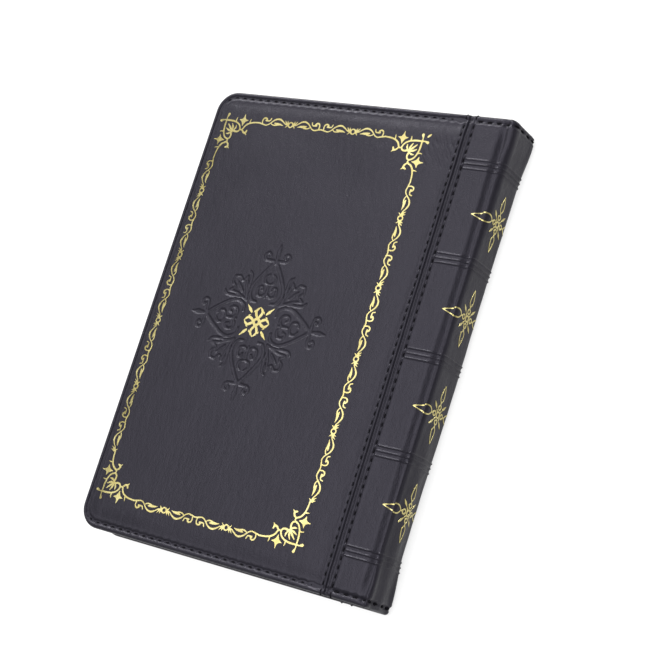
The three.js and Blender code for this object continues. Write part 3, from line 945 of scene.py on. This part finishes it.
def wrap_relief(s, y):
    """Height of the spine leather above its plain section."""
    s, y = np.broadcast_arrays(s, y)
    e = HEAD - np.abs(y)
    height = -BEAD_DROP * (1 - ramp(e, BEAD, 5)) - EDGE_DIP * hump(e, STITCH_INSET, 0.6)
    height = height + seam_relief(s) - valley(s) * (0.45 + 0.55 * ramp(e, 2.5, 9))
    height = height - WAIST * ramp(e, 5, 19) * ramp(s, SHOULDER_START + 0.6, FACE_START)
    height = height + FLARE * (1 - ramp(e, 6, 20)) * hump(s, SHOULDER_START + 2.2, 1.5)
    height = height + HEAD_SWELL * ramp(y, 10, HEAD) * ramp(s, SHOULDER_START + 1, FACE_START)
    pinched = ramp(s, SHOULDER_START, SHOULDER_START + 2.5) * (1 - ramp(s, FACE_START - 1, SPINE_MIDDLE))
    height = height - PINCH * pinched * ramp(-y, 5, 50)
    line_start = ramp(s, SEAM_ROW + 0.5, SEAM_ROW + 1.3)
    for group in LINE_GROUPS:
        for place in (group - LINE_PITCH, group, group + LINE_PITCH):
            height = height + LINE_HEIGHT * hump(y, place, LINE_WIDTH) * line_start
    height = height + 0.05 * waves(s, y, 3, 40, 10) * ramp(s, 3, 6)
    row = s < 4
    height[row] += dash_relief(s[row], y[row], STRIP_DASHES, STRIP_DIMPLE, STRIP_DIMPLE_WIDTH)
    rim = e < 5
    height[rim] += dash_relief(s[rim], np.abs(y)[rim], WRAP_DASHES)
    height[rim] += scallop_relief(s[rim], np.abs(y)[rim], e[rim], WRAP_DASHES)
    return height


def wrap_point(s, y, lift, relief=True):
    """A point on the front half of the spine leather, at a distance from the seam along it."""
    s = np.asarray(s, float)
    y = np.broadcast_to(y, s.shape)
    turn = np.clip((s - SHOULDER_START) / SHOULDER_LENGTH, 0, 1) * math.pi / 2
    top = FRONT - STRIP_DROP
    x = SEAM + np.minimum(s, SHOULDER_START) + SHOULDER_ACROSS * np.sin(turn)
    z = top - SHOULDER_DOWN * (1 - np.cos(turn)) - np.maximum(s - FACE_START, 0)
    tilt = np.arctan2(SHOULDER_DOWN * np.sin(turn), SHOULDER_ACROSS * np.cos(turn))
    out = lift + (wrap_relief(s, y) if relief else 0)
    return np.column_stack([x + out * np.sin(tilt), y, z + out * np.cos(tilt)])


def wrap_side(s, inset, depth, end):
    """A point on the rolled head or tail end of the spine leather."""
    start = wrap_relief(s, end * (HEAD - BEAD))
    fade = np.clip(1 - depth / 1.6, 0, 1)
    return wrap_point(s, end * (HEAD - inset), (start + BEAD_DROP) * fade - depth, relief=False)


def spine_leather(side):
    """Half of the spine leather, from the seam over the fold and shoulder to the middle of the spine."""
    beside_seam = 3.4
    s = np.concatenate([
        fine_steps(0.02, beside_seam, SEAM_STEP)[:-1],
        fine_steps(beside_seam, SPINE_MIDDLE, 0.5, [(VALLEY - 0.6, FACE_START)], 0.24),
    ])
    near_lines = [(g - 2.6, g + 2.6) for g in LINE_GROUPS]
    ends = [(TAIL, TAIL + 5), (HEAD - 5, HEAD)]
    ys = fine_steps(TAIL + BEAD, HEAD - BEAD, STEP, near_lines + ends, 0.18)
    hem = TURN_IN - 1.2 * ramp(s, SHOULDER_START - 4, SHOULDER_START)
    inner = LEATHER + valley(s) + WAIST * ramp(s, SHOULDER_START, FACE_START)
    turn_in = ((0.25, hem - 0.2), (0.8, hem), (RIM, hem), (RIM, np.minimum(inner, hem - 0.1)))

    def end_rows(end):
        """The rolled end, then the turn-in behind it."""
        rolled = [
            wrap_side(s, BEAD - BEAD * math.sin(a), BEAD_DROP + BEAD - BEAD * math.cos(a), end)
            for a in np.radians(np.linspace(0, 90, 6))[1:]
        ]
        behind = [wrap_point(s, end * (HEAD - inset), -depth, relief=False) for inset, depth in turn_in]
        return rolled + behind

    rows = [wrap_point(s, y, 0) for y in ys] + end_rows(1) + end_rows(-1)[::-1]
    numbers = np.arange(len(rows) * len(s)).reshape(len(rows), len(s))
    faces = []
    for k in range(len(rows)):
        faces += strip_faces(numbers[k - 1], numbers[k])
    faces += [numbers[:, 0].tolist(), numbers[:, -1].tolist()]
    points = on_side(side, np.vstack(rows))
    return mesh_object(f"{side}_spine_wrap", points, faces, LEATHER_FINISH, 60)


# ---------------- stitches


def tube(path, radius, sides=7):
    """Points and faces of a closed tube along some points, thinner at its ends."""
    path = np.asarray(path, float)
    ahead = np.gradient(path, axis=0)
    ahead /= np.linalg.norm(ahead, axis=1)[:, None]
    up = np.array([0.0, 0.0, 1.0]) if abs(ahead[len(path) // 2][2]) < 0.9 else np.array([1.0, 0.0, 0.0])
    side = np.cross(ahead, up)
    side /= np.linalg.norm(side, axis=1)[:, None]
    over = np.cross(side, ahead)
    angles = np.linspace(0, 2 * math.pi, sides, endpoint=False)
    radii = radius * np.sqrt(np.clip(1 - np.linspace(-0.96, 0.96, len(path)) ** 4, 0.05, 1))
    circle = side[:, None] * np.cos(angles)[None, :, None] + over[:, None] * np.sin(angles)[None, :, None]
    points = (path[:, None] + circle * radii[:, None, None]).reshape(-1, 3)
    numbers = np.arange(len(points)).reshape(len(path), sides)
    faces = []
    for first, second in zip(numbers, numbers[1:]):
        faces += strip_faces(first, second, closed=True)
    return points, faces + [numbers[0].tolist(), numbers[-1].tolist()[::-1]]


def stitches(name, side, rows, surface, width, extra=()):
    """Stitches lying on a surface(x, y, lift), each one a short tube that dives in at its ends."""
    t = np.linspace(0, 1, 8)
    lift = width * (0.42 * np.sin(math.pi * t) ** 0.5 - 0.5 * np.abs(2 * t - 1) ** 3)
    paths = list(extra)
    for dash in rows:
        along = np.linspace(0, len(dash) - 1, len(t))
        x, y = (np.interp(along, range(len(dash)), places) for places in dash.T)
        paths.append(surface(x, y, lift))
    points, faces, count = [], [], 0
    for path in paths:
        tube_points, tube_faces = tube(path, width / 2)
        faces += [[c + count for c in face] for face in tube_faces]
        points.append(tube_points)
        count += len(tube_points)
    return mesh_object(name, on_side(side, np.vstack(points)), faces, THREAD)


def over_the_edge(x, end):
    """The stitch that carries a seam row over the head or tail edge."""
    angles = np.radians(np.linspace(-30, 100, 9))
    radius = BEAD + SEAM_THREAD_WIDTH / 4
    y = end * (HEAD - BEAD + radius * np.sin(angles))
    z = FRONT - BEAD_DROP - BEAD - 0.35 + radius * np.cos(angles)
    return np.column_stack([np.full(len(y), x), y, z])


# ---------------- covers and spine

FOLD_START = (STRIP_END, 0, FRONT)
FOLD_END = (STRIP_END + 3.6, 0, FRONT - 0.9)


def rides_cover(piece, side, slot, *nodes):
    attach(piece, f"{side}_cover")
    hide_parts(*nodes)


def folds(piece, side, slot, *nodes):
    """A piece that lies between a cover and the spine, round that cover's fold, fixed where it is made;
    the fold's ends are worked out but not used.
    """
    start, end = (Vector(on_side(side, place) * MM) for place in (FOLD_START, FOLD_END))
    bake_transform(piece)
    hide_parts(*nodes)


def cover_pieces(side):
    def face(x, y, lift):
        return on_side(side, face_point(x, y, lift))

    rides_cover(leather_panel(side), side, "leather", f"{side}_leather_panel")
    folds(spine_leather(side), side, "leather", f"{side}_hinge_leather", "spine_leather")
    border = plate(f"{side}_gold_border", border_strokes(), 0.15, face, GOLD)
    rides_cover(border, side, "gold_foil", f"{side}_border_foil")
    rosette = plate(f"{side}_gold_rosette", rosette_strokes(), 0.12, face, GOLD)
    rides_cover(rosette, side, "gold_foil", f"{side}_rosette_foil")

    edge = stitches(f"{side}_edge_stitches", side, EDGE_DASHES, face_point, THREAD_WIDTH)
    rides_cover(edge, side, "thread", f"{side}_edge_thread")
    for row, x, rows, surface in (
        ("panel", SEAM - SEAM_ROW, PANEL_DASHES, face_point),
        ("strip", SEAM + SEAM_ROW, STRIP_DASHES, wrap_point),
    ):
        ends = [over_the_edge(x, end) for end in (-1, 1)]
        seam = stitches(f"{side}_seam_stitches_{row}", side, rows, surface, SEAM_THREAD_WIDTH, ends)
        rides_cover(seam, side, "thread", f"{side}_seam_thread_{row}")


def spine_pieces(side):
    def spine_face(across, y, lift):
        return on_side(side, wrap_point(SPINE_MIDDLE - across, y, lift))

    for end, turn in (("head", 1), ("tail", -1)):
        rows = [dash * (1, turn) for dash in WRAP_DASHES]
        row = stitches(f"{side}_{end}_spine_stitches", side, rows, wrap_point, THREAD_WIDTH)
        folds(row, side, "thread", f"spine_{end}_thread")
    across, along = FLEURON_REACH
    for number, centre in enumerate(FLEURONS, 1):
        flower = moved(fleuron_strokes(), y=centre)
        low, high = (0, centre - along), (across, centre + along)
        gold = plate(f"{side}_gold_fleuron_{number}", flower, 0.13, spine_face, GOLD, low, high, 0.07)
        folds(gold, side, "gold_foil", f"spine_fleuron_foil_{number}")


for side in SIDES:
    cover_pieces(side)
    spine_pieces(side)


# ---------------- pages, bands and padding

PAGE_BODY = {"front_flyleaf": "front_pages"}
PAGE_BODY |= {f"section_{i}": "front_pages" for i in (1, 2, 3)}
PAGE_BODY |= {f"leaf_{i}": f"leaf_{i}" for i in (1, 2, 3, 4)}
PAGE_BODY |= {f"section_{i}": "back_pages" for i in (4, 5, 6)}
PAGE_BODY["back_flyleaf"] = "back_pages"
PAGE_BEND = 9  # width of paper beside the spine where the points lie closer
SECTION_SHEETS = 6
EDGE_STEP = 0.06  # how unevenly the leaves of a section are cut


def slab(name, xs, half_heights, levels, material):
    """A closed stack of outlines. Each level is an inset from the edges and a height at every x."""
    count = len(xs)
    points = []
    for inset, z in levels:
        across = np.clip(xs, xs[0] + inset, xs[-1] - inset)
        head = np.column_stack([across, half_heights - inset, z])
        tail = np.column_stack([across, inset - half_heights, z])
        points += [head, tail[::-1]]
    rings = np.arange(len(levels) * 2 * count).reshape(len(levels), 2 * count)
    faces = []
    for lower, upper in zip(rings, rings[1:]):
        faces += strip_faces(lower, upper, closed=True)
    for cap in (rings[0], rings[-1]):
        faces += strip_faces(cap[:count], cap[count:][::-1])
    return mesh_object(name, np.vstack(points), faces, material, 30)


def page_piece(node):
    """A section or a single leaf: its cut edges are a little uneven, and its points lie closer beside the
    spine.
    """
    low, high = box_mm(node)
    start = high[0] - PAGE_BEND
    xs = np.concatenate([np.linspace(low[0], start, 12)[:-1], np.linspace(start, high[0], 16)])
    random = np.random.default_rng(len(node) + round(low[2] * 10))
    sheets = SECTION_SHEETS if "section" in node else 1
    levels = []
    for z in np.linspace(low[2], high[2], 2 * sheets + 1):
        between = len(levels) % 2 == 0
        inset = random.uniform(0.4, 1.0) * EDGE_STEP + (EDGE_STEP if between else 0)
        levels.append((inset, np.full(len(xs), z)))
    piece = slab(f"{node}_paper", xs, np.full(len(xs), high[1]), levels, PAPER)
    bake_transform(piece)
    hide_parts(node)


def padding_piece(side):
    """The wadding between board and leather: a thin pad, full in the middle and tapered to its edges."""
    low, high = box_mm(f"{side}_padding")
    radius = 4.0
    corner = np.radians(np.linspace(0, 90, 6))
    start = low[0] + radius - radius * np.cos(corner)
    xs = np.concatenate([start, np.linspace(low[0] + radius, high[0], 24)[1:]])
    drop = np.concatenate([radius - radius * np.sin(corner), np.zeros(len(xs) - len(corner))])
    base, top = (low[2], high[2]) if side == "front" else (high[2], low[2])
    full = 1 + 0.12 * np.minimum(np.minimum(xs - low[0], high[0] - xs) / 12, 1)
    rim = 0.12 if side == "front" else -0.12
    levels = [(0.5, np.full(len(xs), base)), (0.1, np.full(len(xs), base + rim))]
    for inset, share in ((0.0, 0.3), (0.4, 0.55), (1.4, 0.75), (4.0, 0.85)):
        levels.append((inset, base + (top - base) * share * full))
    piece = slab(f"{side}_pad", xs, high[1] - drop, levels, WADDING)
    rides_cover(piece, side, "wadding", f"{side}_padding")


def band_piece(node):
    """A head or tail band: silk wound closely round a cord that stands across the sections."""
    low, high = box_mm(node)
    x, y = middle(node)[:2]
    turns, sides, radius = 24, 14, 0.86
    z = np.linspace(low[2] + 0.2, high[2] - 0.2, turns * 6 + 1)
    path = np.column_stack([x + 0.05 * np.sin(z), np.full(len(z), y), z])
    points, faces = tube(path, radius, sides)
    wound = 1 + 0.06 * np.cos(np.linspace(0, 2 * math.pi * turns, len(z)))
    centre = np.repeat(path, sides, axis=0)
    points = centre + (points - centre) * np.repeat(wound, sides)[:, None]
    piece = mesh_object(f"{node}_silk", points, faces, BAND)
    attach(piece, "spine")
    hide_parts(node)


for page_node in PAGE_BODY:
    page_piece(page_node)
for side in SIDES:
    padding_piece(side)
for band_node in ("head_band", "tail_band"):
    band_piece(band_node)


# ---------------- flat pieces kept from the frame


def finish_node(node, material, bevel):
    """A material and rounded edges on a piece of the frame."""
    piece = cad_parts[node]
    piece.data.materials.clear()
    piece.data.materials.append(material)
    rounding = piece.modifiers.new("rounding", "BEVEL")
    rounding.width = bevel * MM
    rounding.segments = 2


for side in SIDES:
    finish_node(f"{side}_board", CARD, 0.25)
    finish_node(f"{side}_lining", LINING, 0.12)
finish_node("spine_board", CARD, 0.2)
finish_node("spine_lining", LINING, 0.12)
finish_node("block_backing", CLOTH, 0.15)
